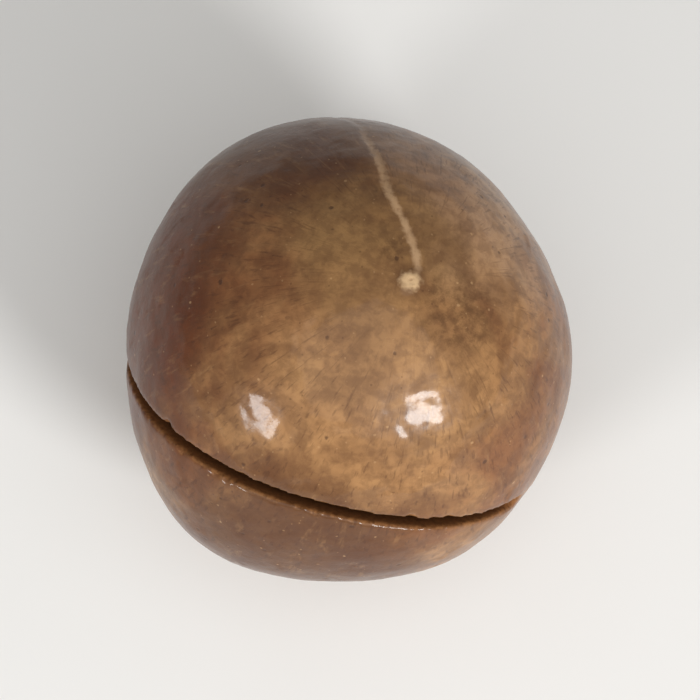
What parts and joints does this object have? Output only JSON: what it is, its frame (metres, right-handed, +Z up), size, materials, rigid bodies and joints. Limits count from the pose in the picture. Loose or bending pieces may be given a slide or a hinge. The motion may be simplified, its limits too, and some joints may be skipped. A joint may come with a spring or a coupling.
{
  "type": "macadamia nut in shell",
  "caption": "Round brown macadamia nut in its hard shell, with a thin sawn slit along one side for an opening key. Rests on a small flat.",
  "frame": {"origin": "a point on the small flat that the nut rests on, straight below its middle", "axes": "+Z up from the rest flat, -Y towards the side that shows the sawn slit, +X to the right seen from that side; the nut's own axis leans 16 degrees from +Z towards +X"},
  "size_m": [0.0275, 0.0284, 0.0268],
  "materials": {
    "shell": "semi-gloss"
  },
  "bodies": {
    "root": {"macadamia_nut": "shell"}
  },
  "joints": []
}
